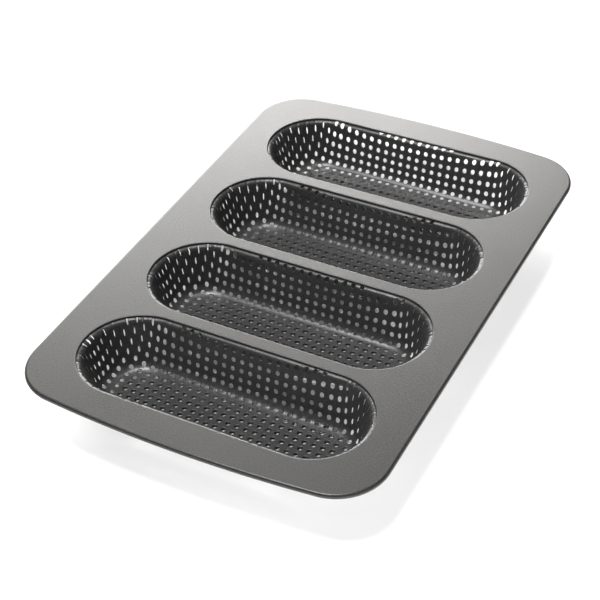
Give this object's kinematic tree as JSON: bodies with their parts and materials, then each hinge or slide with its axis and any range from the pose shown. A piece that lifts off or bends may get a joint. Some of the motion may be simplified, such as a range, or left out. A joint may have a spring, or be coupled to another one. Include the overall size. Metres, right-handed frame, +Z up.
{
  "type": "baguette tray",
  "caption": "Bakery tray: a flat plate with a rolled rim and a row of round-ended perforated troughs that hold loaves while they bake.",
  "frame": {"origin": "under the middle of the tray, on the plane that the trough floors rest on", "axes": "+X along the troughs, +Y across them towards the back trough, +Z up"},
  "size_m": [0.2484, 0.38, 0.035],
  "materials": {
    "coated_plate": "satin grey non-stick coating on sheet steel",
    "coated_trough": "satin dark grey non-stick coating on perforated sheet steel",
    "rim_wire": "plain drawn steel wire"
  },
  "bodies": {
    "root": {"frame_plate": "coated_plate", "rim_wire": "rim_wire", "trough_1": "coated_trough", "trough_2": "coated_trough", "trough_3": "coated_trough", "trough_4": "coated_trough"}
  },
  "joints": []
}
